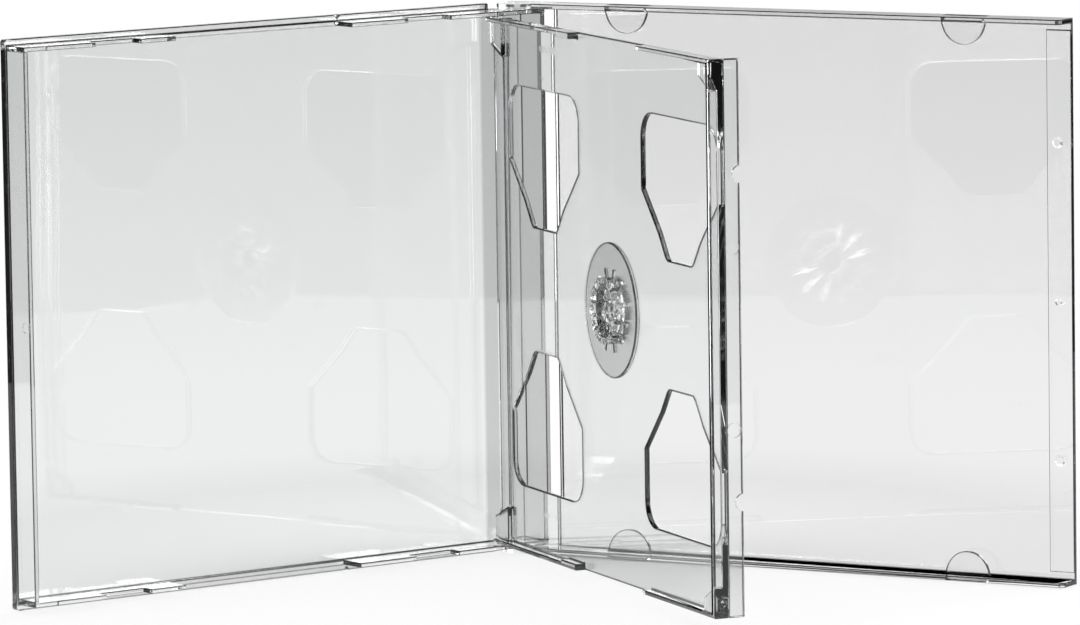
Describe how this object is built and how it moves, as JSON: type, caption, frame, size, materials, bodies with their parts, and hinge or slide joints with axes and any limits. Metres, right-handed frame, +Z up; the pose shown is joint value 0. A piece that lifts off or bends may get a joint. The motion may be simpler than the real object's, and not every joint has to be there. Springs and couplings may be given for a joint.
{
  "type": "disc case",
  "caption": "Clear hinged plastic disc case standing open on its edge, with a swing-out double-sided disc tray between its covers.",
  "frame": {"origin": "on the cover hinge's axis, at the level of the bottom edge that the open case stands on", "axes": "+Z up along both hinge axes; the back cover runs from the hinge along -X with its inner side facing -Y; the front cover stands open at 113 degrees and the tray at 74.5 degrees, both turned about +Z from the shut position"},
  "size_m": [0.195, 0.1315, 0.125],
  "materials": {
    "back_cover": "clear glossy polystyrene",
    "front_cover": "clear glossy polystyrene",
    "swing_tray": "clear glossy polystyrene"
  },
  "bodies": {
    "back_cover": {"back_cover": "back_cover"},
    "front_cover": {"front_cover": "front_cover"},
    "swing_tray": {"swing_tray": "swing_tray"}
  },
  "joints": [
    {"name": "cover_hinge", "type": "hinge", "parent": "back_cover", "child": "front_cover", "pos_m": [0, 0, 0.0625], "axis": [0, 0, 1], "range_deg": [-113, 67]},
    {"name": "tray_hinge", "type": "hinge", "parent": "back_cover", "child": "swing_tray", "pos_m": [-0.0058, 0.0007, 0.0625], "axis": [0, 0, 1], "range_deg": [-74.5, 44.2]}
  ],
  "couplings": [
    {"joint": "tray_hinge", "follows": "cover_hinge", "ratio": 0.65929}
  ]
}
